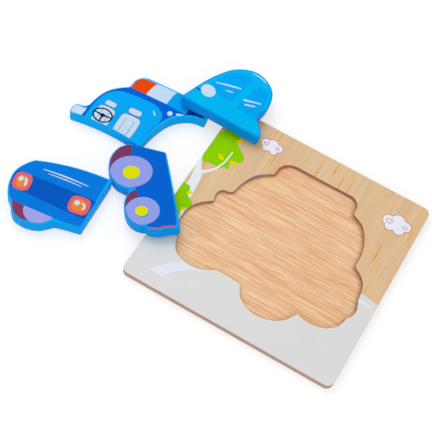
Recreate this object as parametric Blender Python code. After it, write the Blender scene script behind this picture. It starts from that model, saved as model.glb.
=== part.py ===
# Wooden vehicle puzzle: a square tray with a car-shaped recess, and the four thick
# pieces that fill it, lying beside the tray as a child leaves them.
#
# Metres, +Z up. The origin is the centre of the tray's underside, on the table. X runs
# along the tray's front edge, and Y towards its back edge.

import math

import bmesh
import bpy
import numpy as np
from mathutils import Matrix, Vector

# Tray: a thin base board under a frame board that has the car cut out of it
TRAY_WIDTH = 0.150
TRAY_DEPTH = 0.150
TRAY_CORNER_RADIUS = 0.0045
BASE_THICKNESS = 0.0025
FRAME_THICKNESS = 0.0020
GLUE_LINE = 0.0003
BOARD_EDGE_ROUND = 0.0003
RECESS_CUTTER_RADIUS = 0.0014
RECESS_LIP_RADIUS = 0.0008

# Puzzle pieces
PIECE_THICKNESS = 0.0090
PIECE_CORNER_RADIUS = 0.0016
PIECE_EDGE_ROUND = 0.0011
PIECE_EDGE_STEPS = 3
REST_GAP = 0.0003

# How closely the outlines are followed
OUTLINE_STEP = 0.0004
OUTLINE_TOLERANCE = 0.00003
SAME_POINT = 0.000002

# The car's outline, in millimetres from the tray's centre. Each knot is x, y and the bow
# of the arc that leads to it: how far the arc's middle stands out to the left of its
# chord. The outline runs clockwise, so a positive bow bulges outwards.
MILLIMETRE = 0.001

MIRROR_NOTCH = (-51.0, 1.3)
SCREEN_EDGE = [
    (-52.4, 7.2, 0.45),
    (-46.5, 12.7, 1.9),
    (-43.4, 15.2, -0.4),
    (-40.4, 27.3, 0.4),
    (-35.1, 35.5, 0.5),
    (-27.2, 41.8, 0.35),
    (-26.7, 45.5, -0.1),
    (-16.0, 55.5, 3.1),
    (22.5, 55.6, 0.0),
    (31.7, 47.5, 2.9),
    (32.4, 43.4, -0.25),
]
ROOF_NOTCH = SCREEN_EDGE[-1][:2]
DOME_EDGE = [
    (40.5, 39.5, 0.2),
    (50.2, 12.0, 3.0),
    (51.6, 7.9, -0.5),
    (60.2, 0.4, 0.9),
    (61.8, -4.6, 0.15),
]
TAIL_TOP = DOME_EDGE[-1][:2]
SIDE_EDGE = [
    (62.5, -10.4, 0.1),
    (64.5, -16.5, -0.1),
    (62.0, -27.2, 1.7),
    (53.4, -40.9, 2.3),
    (36.2, -42.2, 1.6),
    (34.0, -41.7, -0.4),
    (29.6, -49.3, 0.2),
    (12.5, -56.4, 2.0),
    (-2.7, -49.9, 1.9),
    (-6.4, -42.9, 0.2),
]
HOOD_FOOT = SIDE_EDGE[-1][:2]
HOOD_EDGE = [
    (-24.5, -42.5, -0.3),
    (-32.2, -47.3, 0.1),
    (-52.4, -44.9, 2.3),
    (-57.2, -35.8, 0.6),
    (-60.0, -32.4, -0.2),
    (-63.0, -18.0, 0.9),
    (-58.5, -5.5, 1.2),
    MIRROR_NOTCH + (0.4,),
]

# The cuts that part the car into its four pieces
CROSSING = (3.6, 0.6)
HOOD_CUT = [CROSSING + (2.6,)]
PILLAR_CUT = [(8.6, 25.9, 1.2), (20.3, 39.5, 1.6), (31.1, 41.1, 0.9), ROOF_NOTCH + (0.0,)]
BELT_SHARE = 0.44

# The dome piece's own crown, which is cut rounder than the place that it drops into
DOME_CROWN = [
    (1.9, 0.4, 0.1),
    (8.7, 25.8, 0.85),
    (20.8, 39.2, 1.35),
    (30.5, 41.3, 0.7),
    (45.2, 34.1, 1.75),
]
DOME_REAR = [(50.2, 12.0, 2.3)] + DOME_EDGE[2:]

# The side piece's own outline, from its lower front corner round: it is cut shorter at the
# tail than the place that it drops into, and fuller along the belt
SIDE_RIM = [
    (-0.6, -17.6, 0.0),
    (60.5, -3.3, 0.3),
    (60.9, -11.4, 0.1),
    (62.3, -14.9, -0.1),
    (63.1, -19.5, 0.3),
    (62.9, -24.3, 0.2),
    (61.1, -27.3, 0.2),
    (53.0, -40.9, 2.25),
    (35.6, -42.3, 1.8),
    (33.0, -41.6, -0.4),
    (29.1, -49.4, 0.2),
    (12.5, -56.4, 2.1),
    (-3.0, -50.1, 1.95),
    HOOD_FOOT + (0.2,),
]

# How much smaller than its share of the recess each piece is, all round
HOOD_CLEARANCE = 0.0014
SCREEN_CLEARANCE = 0.0008
SIDE_CLEARANCE = 0.0011
DOME_CLEARANCE = 0.0016

# Where the pieces lie: the point of the car outline that each piece turns about, how far
# that point lies from the tray's left edge and from its middle, and the piece's turn
HOOD_CENTRE = (-31.0, -21.0)
HOOD_FROM_TRAY = 0.0639
HOOD_ALONG_TRAY = -0.0532
HOOD_TURN = math.radians(16.4)
SCREEN_CENTRE = (-12.0, 29.0)
SCREEN_FROM_TRAY = 0.0536
SCREEN_ALONG_TRAY = 0.0344
SCREEN_TURN = math.radians(3.6)
SIDE_CENTRE = (29.0, -30.0)
SIDE_FROM_TRAY = 0.0162
SIDE_ALONG_TRAY = -0.0185
SIDE_TURN = math.radians(-63.8)
DOME_CENTRE = (29.0, 8.0)
DOME_FROM_TRAY = 0.0021
DOME_ALONG_TRAY = 0.0706
DOME_TURN = math.radians(-8.8)

# What the tilted dome piece rests on besides its tail: the siren's shoulder, on the
# windscreen piece, and the tray's back edge
SIREN_SHOULDER = (31.0, 46.5)
WAIST_FROM_TRAY = 0.0180

TRAY_TOP = BASE_THICKNESS + GLUE_LINE + FRAME_THICKNESS
TRAY_LEFT = -TRAY_WIDTH / 2
TRAY_BACK = TRAY_DEPTH / 2

BEECH = (0.72, 0.45, 0.25)
BIRCH = (0.73, 0.52, 0.32)
HOOD_BLUE = (0.0, 0.17, 0.76)
SIDE_BLUE = (0.0, 0.11, 0.64)
SCREEN_BLUE = (0.0, 0.37, 0.92)
DOME_BLUE = (0.0, 0.47, 0.93)


def clear_scene():
    for old in list(bpy.data.objects):
        bpy.data.objects.remove(old, do_unlink=True)


def make_material(name, colour, roughness):
    material = bpy.data.materials.new(name)
    material.use_nodes = True
    shader = material.node_tree.nodes["Principled BSDF"]
    shader.inputs["Base Color"].default_value = (*colour, 1.0)
    shader.inputs["Roughness"].default_value = roughness
    shader.inputs["Metallic"].default_value = 0.0
    return material


# Outlines


def arc(start, end, bow):
    """Points after start, up to end, on the arc whose middle stands bow off the chord."""
    start = np.array(start)
    end = np.array(end)
    chord = end - start
    length = np.linalg.norm(chord)
    count = max(1, math.ceil(length / OUTLINE_STEP))
    shares = np.arange(1, count + 1) / count
    if abs(bow) < SAME_POINT:
        return [start + chord * share for share in shares]
    radius = (length * length / 4 + bow * bow) / (2 * abs(bow))
    left = np.array([-chord[1], chord[0]]) / length * math.copysign(1, bow)
    centre = (start + end) / 2 + left * (abs(bow) - radius)
    first = math.atan2(*(start - centre)[::-1])
    sweep = math.atan2(*(end - centre)[::-1]) - first
    sweep = (sweep + math.pi) % (2 * math.pi) - math.pi
    angles = first + sweep * shares
    return [centre + radius * np.array([math.cos(a), math.sin(a)]) for a in angles]


def run(start, knots):
    """The points of a stretch of outline, in metres, from start through its knots."""
    here = np.array(start) * MILLIMETRE
    points = [here]
    for x, y, bow in knots:
        there = np.array([x, y]) * MILLIMETRE
        points += arc(here, there, bow * MILLIMETRE)
        here = there
    return points


def join(*runs):
    """One closed loop from runs that each start where the last one ended."""
    return np.array([point for points in runs for point in points[:-1]])


def distance_to_loop(loop, points):
    """How far each point lies from the nearest side of a closed loop."""
    nearest = np.full(len(points), np.inf)
    for start, end in zip(loop, np.roll(loop, -1, axis=0)):
        side = end - start
        share = np.clip((points - start) @ side / (side @ side), 0, 1)
        gaps = np.linalg.norm(points - start - share[:, None] * side, axis=1)
        nearest = np.minimum(nearest, gaps)
    return nearest


def offset(loop, distance):
    """A clockwise loop moved inwards by distance, or outwards where it is negative."""
    sides = np.roll(loop, -1, axis=0) - loop
    angles = np.arctan2(sides[:, 1], sides[:, 0])
    moved = []
    for index, corner in enumerate(loop):
        before = angles[index - 1]
        turn = (angles[index] - before + math.pi) % (2 * math.pi) - math.pi
        if turn * distance > 0:
            steps = max(1, math.ceil(abs(turn * distance) / OUTLINE_STEP))
            inwards = before - math.pi / 2 + turn * np.arange(steps + 1) / steps
            reach = distance
        else:
            inwards = np.array([before - math.pi / 2 + turn / 2])
            reach = distance / math.cos(turn / 2)
        for angle in inwards:
            moved.append(corner + reach * np.array([math.cos(angle), math.sin(angle)]))
    moved = np.array(moved)
    moved = moved[distance_to_loop(loop, moved) > abs(distance) - SAME_POINT]
    steps = np.linalg.norm(moved - np.roll(moved, 1, axis=0), axis=1)
    return moved[steps > 2 * OUTLINE_TOLERANCE]


def thin(loop):
    """The loop without the points that lie on the line between their neighbours."""
    kept = [loop[0]]
    skipped = []
    for point, following in zip(loop[1:], np.roll(loop, -1, axis=0)[1:]):
        skipped.append(point)
        side = following - kept[-1]
        length = np.linalg.norm(side)
        if length < OUTLINE_STEP:
            continue
        normal = np.array([-side[1], side[0]]) / length
        stray = max(abs((passed - kept[-1]) @ normal) for passed in skipped)
        if stray > OUTLINE_TOLERANCE:
            kept.append(point)
            skipped = []
    return np.array(kept)


def piece_outline(loop, clearance):
    """The outline of a piece: shrunk by the clearance, with its corners rounded."""
    core = offset(loop, clearance + PIECE_CORNER_RADIUS)
    return thin(offset(core, -PIECE_CORNER_RADIUS))


def recess_outline(loop):
    """The recess as a round cutter leaves it, with its sharp lips sanded."""
    core = offset(loop, RECESS_CUTTER_RADIUS)
    wide = offset(core, -RECESS_CUTTER_RADIUS - RECESS_LIP_RADIUS)
    return thin(offset(wide, RECESS_LIP_RADIUS))


def tray_outline():
    """The tray's rounded square, clockwise."""
    across = TRAY_WIDTH / 2 - TRAY_CORNER_RADIUS
    along = TRAY_DEPTH / 2 - TRAY_CORNER_RADIUS
    steps = 6
    points = []
    for quarter, (sign_x, sign_y) in enumerate([(1, 1), (1, -1), (-1, -1), (-1, 1)]):
        for step in range(steps + 1):
            angle = math.pi / 2 * (1 - quarter - step / steps)
            x = sign_x * across + TRAY_CORNER_RADIUS * math.cos(angle)
            y = sign_y * along + TRAY_CORNER_RADIUS * math.sin(angle)
            points.append((x, y))
    return np.array(points)


# Boards


def add_loop(bm, loop, z):
    corners = [bm.verts.new((x, y, z)) for x, y in loop]
    sides = [bm.edges.new((corners[i - 1], corners[i])) for i in range(len(corners))]
    return corners, sides


def thicken_and_round(bm, bottom, thickness, edge_round, steps):
    """Extrude flat faces upwards, then round the edges that border top and bottom."""
    top = bmesh.ops.extrude_face_region(bm, geom=bottom)["geom"]
    risen = [item for item in top if isinstance(item, bmesh.types.BMVert)]
    bmesh.ops.translate(bm, verts=risen, vec=(0, 0, thickness))
    bmesh.ops.recalc_face_normals(bm, faces=bm.faces)
    rims = [edge for edge in bm.edges if edge.calc_face_angle(0) > math.radians(80)
            and abs(edge.verts[0].co.z - edge.verts[1].co.z) < thickness / 2]
    bmesh.ops.bevel(bm, geom=rims, offset=edge_round, offset_type="OFFSET", segments=steps,
                    profile=0.5, affect="EDGES", clamp_overlap=True)


def finish_object(bm, name, material, matrix):
    mesh = bpy.data.meshes.new(name)
    bm.to_mesh(mesh)
    bm.free()
    mesh.materials.append(material)
    mesh.shade_smooth()
    mesh.set_sharp_from_angle(angle=math.radians(40))
    body = bpy.data.objects.new(name, mesh)
    bpy.context.collection.objects.link(body)
    body.matrix_world = matrix
    return body


def make_tray_base():
    bm = bmesh.new()
    corners, _ = add_loop(bm, tray_outline(), 0)
    thicken_and_round(bm, [bm.faces.new(corners)], BASE_THICKNESS, BOARD_EDGE_ROUND, 1)
    return finish_object(bm, "tray_base", make_material("beech_board", BEECH, 0.55), Matrix())


def make_tray_frame(car):
    bm = bmesh.new()
    _, outside = add_loop(bm, tray_outline(), 0)
    _, inside = add_loop(bm, recess_outline(car), 0)
    bmesh.ops.triangle_fill(bm, use_beauty=True, edges=outside + inside)
    thicken_and_round(bm, bm.faces[:], FRAME_THICKNESS, BOARD_EDGE_ROUND, 1)
    raised = Matrix.Translation((0, 0, BASE_THICKNESS + GLUE_LINE))
    return finish_object(bm, "tray_frame", make_material("birch_board", BIRCH, 0.5), raised)


def make_piece(name, loop, clearance, centre, colour, matrix):
    """One puzzle piece, modelled about its own centre with its underside at z = 0."""
    outline = piece_outline(loop, clearance) - np.array(centre) * MILLIMETRE
    bm = bmesh.new()
    corners, _ = add_loop(bm, outline, 0)
    thicken_and_round(bm, [bm.faces.new(corners)], PIECE_THICKNESS, PIECE_EDGE_ROUND,
                      PIECE_EDGE_STEPS)
    return finish_object(bm, name, make_material(name + "_paint", colour, 0.35), matrix)


# Places


def flat_place(from_tray, along_tray, turn):
    """A piece lying flat on the table, to the left of the tray."""
    spot = Matrix.Translation((TRAY_LEFT - from_tray, along_tray, 0))
    return spot @ Matrix.Rotation(turn, 4, "Z")


def from_centre(x, y, centre):
    """A point of the car outline as its piece holds it, on the piece's underside."""
    return Vector((x - centre[0], y - centre[1], 0)) * MILLIMETRE


def side_place():
    """The side piece: its front wheel on the table, its belly on the tray's left edge."""
    flat = flat_place(SIDE_FROM_TRAY, SIDE_ALONG_TRAY, SIDE_TURN)
    foot = min((flat @ from_centre(x, y, SIDE_CENTRE)).x for x, y, _ in SIDE_EDGE)
    tilt = math.atan2(TRAY_TOP + REST_GAP, TRAY_LEFT - foot)
    hinge = Matrix.Translation((foot, 0, 0))
    return hinge @ Matrix.Rotation(-tilt, 4, "Y") @ hinge.inverted() @ flat


def dome_place(screen_matrix):
    """The dome piece: across the siren, the tray's back edge and the tray's top."""
    flat = flat_place(DOME_FROM_TRAY, DOME_ALONG_TRAY, DOME_TURN)
    tail = flat @ from_centre(*TAIL_TOP, DOME_CENTRE)
    raised = Vector((0, 0, TRAY_TOP + REST_GAP))
    shoulder = screen_matrix @ from_centre(*SIREN_SHOULDER, SCREEN_CENTRE)
    shoulder.z += PIECE_THICKNESS + REST_GAP
    waist = Vector((TRAY_LEFT + WAIST_FROM_TRAY, TRAY_BACK, 0)) + raised
    upwards = (waist - tail - raised).cross(shoulder - tail - raised).normalized()
    lean = Vector((0, 0, 1)).rotation_difference(upwards).to_matrix().to_4x4()
    return Matrix.Translation(tail + raised) @ lean @ Matrix.Translation(-tail) @ flat


def build():
    clear_scene()
    screen_edge = run(MIRROR_NOTCH, SCREEN_EDGE)
    dome_edge = run(ROOF_NOTCH, DOME_EDGE)
    side_edge = run(TAIL_TOP, SIDE_EDGE)
    hood_edge = run(HOOD_FOOT, HOOD_EDGE)
    belt_start = tuple(a + (b - a) * BELT_SHARE for a, b in zip(CROSSING, HOOD_FOOT))
    hood_cut = run(MIRROR_NOTCH, HOOD_CUT)
    pillar_cut = run(CROSSING, PILLAR_CUT)
    upper_cut = run(CROSSING, [belt_start + (0.0,)])
    lower_cut = run(belt_start, [HOOD_FOOT + (0.0,)])
    belt_cut = run(belt_start, [TAIL_TOP + (0.0,)])

    hood = join(hood_edge, hood_cut, upper_cut, lower_cut)
    screen = join(screen_edge, pillar_cut[::-1], hood_cut[::-1])
    side = join(run(HOOD_FOOT, SIDE_RIM))
    dome = join(run(DOME_CROWN[-1][:2], DOME_REAR), belt_cut[::-1], run(belt_start, DOME_CROWN))

    make_tray_base()
    make_tray_frame(join(screen_edge, dome_edge, side_edge, hood_edge))
    hood_matrix = flat_place(HOOD_FROM_TRAY, HOOD_ALONG_TRAY, HOOD_TURN)
    screen_matrix = flat_place(SCREEN_FROM_TRAY, SCREEN_ALONG_TRAY, SCREEN_TURN)
    make_piece("hood_piece", hood, HOOD_CLEARANCE, HOOD_CENTRE, HOOD_BLUE, hood_matrix)
    make_piece("windscreen_piece", screen, SCREEN_CLEARANCE, SCREEN_CENTRE, SCREEN_BLUE,
               screen_matrix)
    make_piece("side_piece", side, SIDE_CLEARANCE, SIDE_CENTRE, SIDE_BLUE, side_place())
    make_piece("dome_piece", dome, DOME_CLEARANCE, DOME_CENTRE, DOME_BLUE,
               dome_place(screen_matrix))


build()
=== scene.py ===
import math
import bmesh
import bpy
from mathutils import Matrix, Vector
from mathutils.geometry import delaunay_2d_cdt
from mathutils.kdtree import KDTree


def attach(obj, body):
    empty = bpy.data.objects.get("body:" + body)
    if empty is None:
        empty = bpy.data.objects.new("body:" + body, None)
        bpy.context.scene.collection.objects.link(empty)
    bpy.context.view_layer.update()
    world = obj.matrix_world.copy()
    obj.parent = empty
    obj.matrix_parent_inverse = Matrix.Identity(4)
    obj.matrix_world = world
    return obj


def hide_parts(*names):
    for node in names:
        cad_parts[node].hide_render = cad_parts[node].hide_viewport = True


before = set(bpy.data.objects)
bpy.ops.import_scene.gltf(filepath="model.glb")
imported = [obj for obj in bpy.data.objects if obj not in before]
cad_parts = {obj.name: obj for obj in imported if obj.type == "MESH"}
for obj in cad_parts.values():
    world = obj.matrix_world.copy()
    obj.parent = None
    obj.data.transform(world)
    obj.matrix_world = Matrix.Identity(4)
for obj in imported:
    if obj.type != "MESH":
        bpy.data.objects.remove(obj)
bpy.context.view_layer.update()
mm = 0.001


# Colours are written as sRGB numbers from 0 to 255
def linear(colour):
    parts = [c / 255 for c in colour]
    return tuple(c / 12.92 if c <= 0.04045 else ((c + 0.055) / 1.055) ** 2.4 for c in parts) + (1.0,)


# Small helpers for node trees
def addNode(tree, kind, inputs=None, **settings):
    node = tree.nodes.new(kind)
    for name, value in settings.items():
        setattr(node, name, value)
    for name, value in (inputs or {}).items():
        if isinstance(value, bpy.types.NodeSocket):
            tree.links.new(value, node.inputs[name])
        else:
            node.inputs[name].default_value = value
    return node


def groupNode(tree, name, inputs):
    return addNode(tree, "ShaderNodeGroup", inputs, node_tree=bpy.data.node_groups[name]).outputs


def newGroup(name, kind, inputs, outputs):
    tree = bpy.data.node_groups.new(name, kind)
    for label, socketType, value in inputs:
        socket = tree.interface.new_socket(label, in_out="INPUT", socket_type=socketType)
        if value is not None:
            socket.default_value = value
    for label, socketType in outputs:
        tree.interface.new_socket(label, in_out="OUTPUT", socket_type=socketType)
    return tree, tree.nodes.new("NodeGroupInput").outputs, tree.nodes.new("NodeGroupOutput").inputs


def finish(tree, ends, results):
    for label, socket in results.items():
        tree.links.new(socket, ends[label])
    return tree


def arith(tree, operation, first, second=0.0, third=None, clamp=False):
    inputs = {0: first, 1: second}
    if third is not None:
        inputs[2] = third
    return addNode(tree, "ShaderNodeMath", inputs, operation=operation, use_clamp=clamp).outputs[0]


def spread(tree, value, low, high, newLow=0.0, newHigh=1.0):
    inputs = {"Value": value, "From Min": low, "From Max": high, "To Min": newLow, "To Max": newHigh}
    return addNode(tree, "ShaderNodeMapRange", inputs, interpolation_type="SMOOTHSTEP").outputs[0]


def blendColours(tree, share, first, second):
    # The mix node keeps its colours in sockets 6 and 7 and its mixed colour in socket 2
    inputs = {"Factor": share, 6: first, 7: second}
    return addNode(tree, "ShaderNodeMix", inputs, data_type="RGBA").outputs[2]


def noise(tree, place, scale, detail):
    inputs = {"Vector": place, "Scale": scale, "Detail": detail}
    return addNode(tree, "ShaderNodeTexNoise", inputs).outputs[0]


# Streaks that run along X: the grain of wood, and what of it shows through ink and paint
streaks = {"driftScale": 45.0, "driftDetail": 2.0}  # how they stray from a straight line


def makeStreaks():
    tree, given, ends = newGroup("woodStreaks", "ShaderNodeTree", [
        ("Vector", "NodeSocketVector", None), ("Along", "NodeSocketFloat", 60.0),
        ("Across", "NodeSocketFloat", 1200.0), ("Wander", "NodeSocketFloat", 0.3),
        ("Detail", "NodeSocketFloat", 3.0)], [("Value", "NodeSocketFloat")])
    drift = noise(tree, given["Vector"], streaks["driftScale"], streaks["driftDetail"])
    bend = arith(tree, "MULTIPLY", arith(tree, "SUBTRACT", drift, 0.5), given["Wander"])
    parts = addNode(tree, "ShaderNodeSeparateXYZ", {0: given["Vector"]}).outputs
    along = arith(tree, "MULTIPLY", parts[0], given["Along"])
    across = arith(tree, "ADD", arith(tree, "MULTIPLY", parts[1], given["Across"]), bend)
    deep = arith(tree, "MULTIPLY", parts[2], given["Across"])
    place = addNode(tree, "ShaderNodeCombineXYZ", {0: along, 1: across, 2: deep}).outputs[0]
    return finish(tree, ends, {"Value": noise(tree, place, 1.0, given["Detail"])})


# The small unevenness of a rolled or printed coat: a shade, a roughness and a height
coats = {
    "cloudScale": 70.0, "cloudDetail": 3.0, "cloudShare": 0.6,  # broad patches
    "speckScale": 1800.0, "speckDetail": 2.0, "speckShare": 0.4,  # fine specks
    "grainAlong": 90.0, "grainAcross": 1500.0,  # the wood's grain under the coat
    "roughSpread": 0.2, "speckHeight": 0.3,
    # Ink and paint: shade is how far a colour wavers, grain how much of the wood shows through
    "ink": {"shade": 0.1, "gloss": 0.42, "grain": 0.5, "specular": 0.015, "bump": (0.25, 0.00003)},
    "paint": {"shade": 0.09, "gloss": 0.33, "grain": 0.45, "specular": 0.03, "bump": (0.35, 0.00006)},
    "rimWearAndHighlight": 0.55,
}


def makeCoat():
    tree, given, ends = newGroup("printedCoat", "ShaderNodeTree", [
        ("Vector", "NodeSocketVector", None), ("Colour", "NodeSocketColor", (0.5, 0.5, 0.5, 1.0)),
        ("Shade", "NodeSocketFloat", 0.06), ("Gloss", "NodeSocketFloat", 0.35),
        ("Grain", "NodeSocketFloat", 0.25)],
        [("Colour", "NodeSocketColor"), ("Roughness", "NodeSocketFloat"), ("Height", "NodeSocketFloat")])
    cloud = noise(tree, given["Vector"], coats["cloudScale"], coats["cloudDetail"])
    speck = noise(tree, given["Vector"], coats["speckScale"], coats["speckDetail"])
    grain = groupNode(tree, "woodStreaks", {
        "Vector": given["Vector"], "Along": coats["grainAlong"], "Across": coats["grainAcross"]})["Value"]
    mixed = arith(tree, "ADD", arith(tree, "MULTIPLY", cloud, coats["cloudShare"]),
                  arith(tree, "MULTIPLY", speck, coats["speckShare"]))
    mixed = arith(tree, "MULTIPLY_ADD", arith(tree, "SUBTRACT", grain, 0.5), given["Grain"], mixed)
    lift = arith(tree, "MULTIPLY_ADD", arith(tree, "SUBTRACT", mixed, 0.5), given["Shade"], 1.0)
    shade = addNode(tree, "ShaderNodeVectorMath", {0: given["Colour"], "Scale": lift}, operation="SCALE")
    rough = arith(tree, "MULTIPLY_ADD", arith(tree, "SUBTRACT", speck, 0.5), coats["roughSpread"],
                  given["Gloss"])
    height = arith(tree, "MULTIPLY_ADD", grain, given["Grain"],
                   arith(tree, "MULTIPLY", speck, coats["speckHeight"]))
    return finish(tree, ends, {"Colour": shade.outputs[0], "Roughness": rough, "Height": height})


# Where hands and other pieces rub a rim, together with a painted highlight along it, from the mesh's own rim
# attribute
wearAndHighlight = {"patchScale": 260.0, "patchDetail": 4.0, "patchRange": (0.35, 0.75), "patchReach": (0.35, 1.0)}


def attributeValue(tree, name):
    node = addNode(tree, "ShaderNodeAttribute", attribute_type="GEOMETRY", attribute_name=name)
    return node.outputs["Fac"]


def makeRubbedAndLitRim():
    tree, given, ends = newGroup("rubbedRimAndHighlight", "ShaderNodeTree", [
        ("Vector", "NodeSocketVector", None), ("Colour", "NodeSocketColor", (0.5, 0.5, 0.5, 1.0)),
        ("Worn And Lit Colour", "NodeSocketColor", (0.8, 0.8, 0.8, 1.0)), ("Amount", "NodeSocketFloat", 0.5)],
        [("Colour", "NodeSocketColor")])
    patch = noise(tree, given["Vector"], wearAndHighlight["patchScale"], wearAndHighlight["patchDetail"])
    patch = spread(tree, patch, *wearAndHighlight["patchRange"], *wearAndHighlight["patchReach"])
    reach = arith(tree, "MULTIPLY", attributeValue(tree, "rim"), patch)
    wornAndLit = arith(tree, "MULTIPLY", reach, given["Amount"], clamp=True)
    return finish(tree, ends, {"Colour": blendColours(tree, wornAndLit, given["Colour"], given["Worn And Lit Colour"])})


makeStreaks()
makeCoat()
makeRubbedAndLitRim()


# A material with its pattern's place on Object coordinates, turned to follow its piece
def newMaterial(name, turn=0.0):
    material = bpy.data.materials.new(name)
    material.use_nodes = True
    tree = material.node_tree
    spot = addNode(tree, "ShaderNodeTexCoord").outputs["Object"]
    inputs = {"Vector": spot, "Rotation": (0.0, 0.0, -math.radians(turn))}
    place = addNode(tree, "ShaderNodeMapping", inputs).outputs[0]
    return material, tree, tree.nodes["Principled BSDF"], place


# The shader's own values: its colour and roughness over the surface, its shine and its bump
def setSurface(tree, shader, colour, roughness, specular, height, bump):
    strength, depth = bump
    relief = addNode(tree, "ShaderNodeBump", {"Height": height, "Strength": strength, "Distance": depth})
    tree.links.new(colour, shader.inputs["Base Color"])
    tree.links.new(roughness, shader.inputs["Roughness"])
    tree.links.new(relief.outputs[0], shader.inputs["Normal"])
    shader.inputs["Specular IOR Level"].default_value = specular


def coatMaterial(name, colour, turn, looks, rimColour=None):
    material, tree, shader, place = newMaterial(name, turn)
    coat = groupNode(tree, "printedCoat", {
        "Vector": place, "Colour": linear(colour), "Shade": looks["shade"],
        "Gloss": looks["gloss"], "Grain": looks["grain"]})
    shown = coat["Colour"]
    # The rim colour is lighter: rubbed paint, and a painted highlight on the rounded rim
    if rimColour:
        shown = groupNode(tree, "rubbedRimAndHighlight", {
            "Vector": place, "Colour": shown, "Worn And Lit Colour": linear(rimColour),
            "Amount": coats["rimWearAndHighlight"]})["Colour"]
    setSurface(tree, shader, shown, coat["Roughness"], looks["specular"], coat["Height"], looks["bump"])
    return material


def inkSet(prefix, colours, turn):
    return {ink: coatMaterial(prefix + ink[0].upper() + ink[1:], colour, turn, coats["ink"])
            for ink, colour in colours.items()}


# Bare boards: broad tone, fine streaks and sparse pores or flecks
boards = {
    "layers": {"broad": (1.2, 2.0), "fine": (1.6, 4.0), "flecks": (0.4, 1.0)},  # wander and detail
    "broadRange": (0.3, 0.7), "patchScale": 42.0, "patchDetail": 1.0, "rimWearAndHighlight": 0.6,
    "glossRange": (0.2, 0.8), "bump": (0.4, 0.00008),
}


def boardMaterial(name, looks, turn=0.0):
    material, tree, shader, place = newMaterial(name, turn)
    streak = {}
    for layer, (wander, detail) in boards["layers"].items():
        along, across = looks[layer]
        streak[layer] = groupNode(tree, "woodStreaks", {
            "Vector": place, "Along": along, "Across": across,
            "Wander": wander, "Detail": detail})["Value"]
    pale, middle, dark = (linear(looks[key]) for key in ("pale", "middle", "dark"))
    colour = blendColours(tree, spread(tree, streak["broad"], *boards["broadRange"]), pale, middle)
    lines = arith(tree, "MULTIPLY", spread(tree, streak["fine"], *looks["fineRange"]), looks["fineShare"])
    colour = blendColours(tree, lines, colour, dark)
    patch = noise(tree, place, boards["patchScale"], boards["patchDetail"])
    marks = spread(tree, streak["flecks"], *looks["fleckRange"])
    marks = arith(tree, "MULTIPLY", marks, looks["fleckShare"])
    marks = arith(tree, "MULTIPLY", marks, spread(tree, patch, *looks["fleckPatch"]))
    colour = blendColours(tree, marks, colour, linear(looks["fleck"]))
    # Paler along the rounded rim
    colour = groupNode(tree, "rubbedRimAndHighlight", {
        "Vector": place, "Colour": colour, "Worn And Lit Colour": linear(looks["rim"]),
        "Amount": boards["rimWearAndHighlight"]})["Colour"]
    # Painted shade on the recess's floor, along its wall
    if "scorchAndShade" in looks:
        share = arith(tree, "MULTIPLY", attributeValue(tree, "scorchAndShade"), looks["wallShadeShare"])
        colour = blendColours(tree, share, colour, linear(looks["scorchAndShade"]))
    gloss = spread(tree, streak["fine"], *boards["glossRange"], *looks["gloss"])
    height = arith(tree, "SUBTRACT", 1.0, streak["fine"])
    setSurface(tree, shader, colour, gloss, looks["specular"], height, boards["bump"])
    return material


# A sawn edge: veneers lie as layers in Z, with scorch from the cutter
saw = {
    "veneer": 0.0008, "specular": 0.15, "bump": (0.4, 0.00008),
    "chatterScale": 700.0, "chatterDetail": 4.0, "chatterRange": (0.45, 0.75), "chatterShare": 0.35,
    "cloudScale": 60.0, "cloudDetail": 2.0, "cloudRange": (0.4, 0.7),
    "glossRange": (0.2, 0.8), "gloss": (0.55, 0.8),
}


def sawnMaterial(name, looks):
    material, tree, shader, place = newMaterial(name)
    height = addNode(tree, "ShaderNodeSeparateXYZ", {0: place}).outputs[2]
    layer = arith(tree, "PINGPONG", height, saw["veneer"])
    layer = spread(tree, layer, 0.0, saw["veneer"])
    chatter = noise(tree, place, saw["chatterScale"], saw["chatterDetail"])
    cloud = noise(tree, place, saw["cloudScale"], saw["cloudDetail"])
    colour = blendColours(tree, layer, linear(looks["pale"]), linear(looks["dark"]))
    # Burnt patches; on the recess's wall, darker and more of them, partly as painted shade
    for pattern, limits, share in ((cloud, saw["cloudRange"], looks["scorchAndShade"]),
                                   (chatter, saw["chatterRange"], saw["chatterShare"])):
        share = arith(tree, "MULTIPLY", spread(tree, pattern, *limits), share)
        colour = blendColours(tree, share, colour, linear(looks["burnt"]))
    gloss = spread(tree, chatter, *saw["glossRange"], *saw["gloss"])
    setSurface(tree, shader, colour, gloss, saw["specular"], chatter, saw["bump"])
    return material


print("shader groups ready")


# Meshes
meshing = {
    "samePoint": 0.000002, "levelSlack": 0.00002,  # in metres
    "flatAngle": 0.4, "sharpAngle": 50,  # in degrees
    "facesUp": 0.9, "facesTop": 0.9995,  # a face's direction against a guess of the top's
    "flatSlope": 0.999, "rimSlope": 0.05,  # a rim's faces lie between these, against the top's
    "softening": 100,  # large faces decide the shading near them
}


def addObject(name, data):
    made = bpy.data.objects.new(name, data)
    bpy.context.scene.collection.objects.link(made)
    return made


def meanNormal(mesh, guess, nearness):
    # The mean direction, by area, of the faces that look nearly along the guess
    total = Vector((0, 0, 0))
    for face in mesh.polygons:
        if face.normal.dot(guess) > nearness:
            total += face.normal * face.area
    return total.normalized()


def upwards(mesh):
    # The direction that a board's top faces: of all that looks up, then of its flat part alone
    guess = meanNormal(mesh, Vector((0, 0, 1)), meshing["facesUp"])
    return meanNormal(mesh, guess, meshing["facesTop"])


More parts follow.
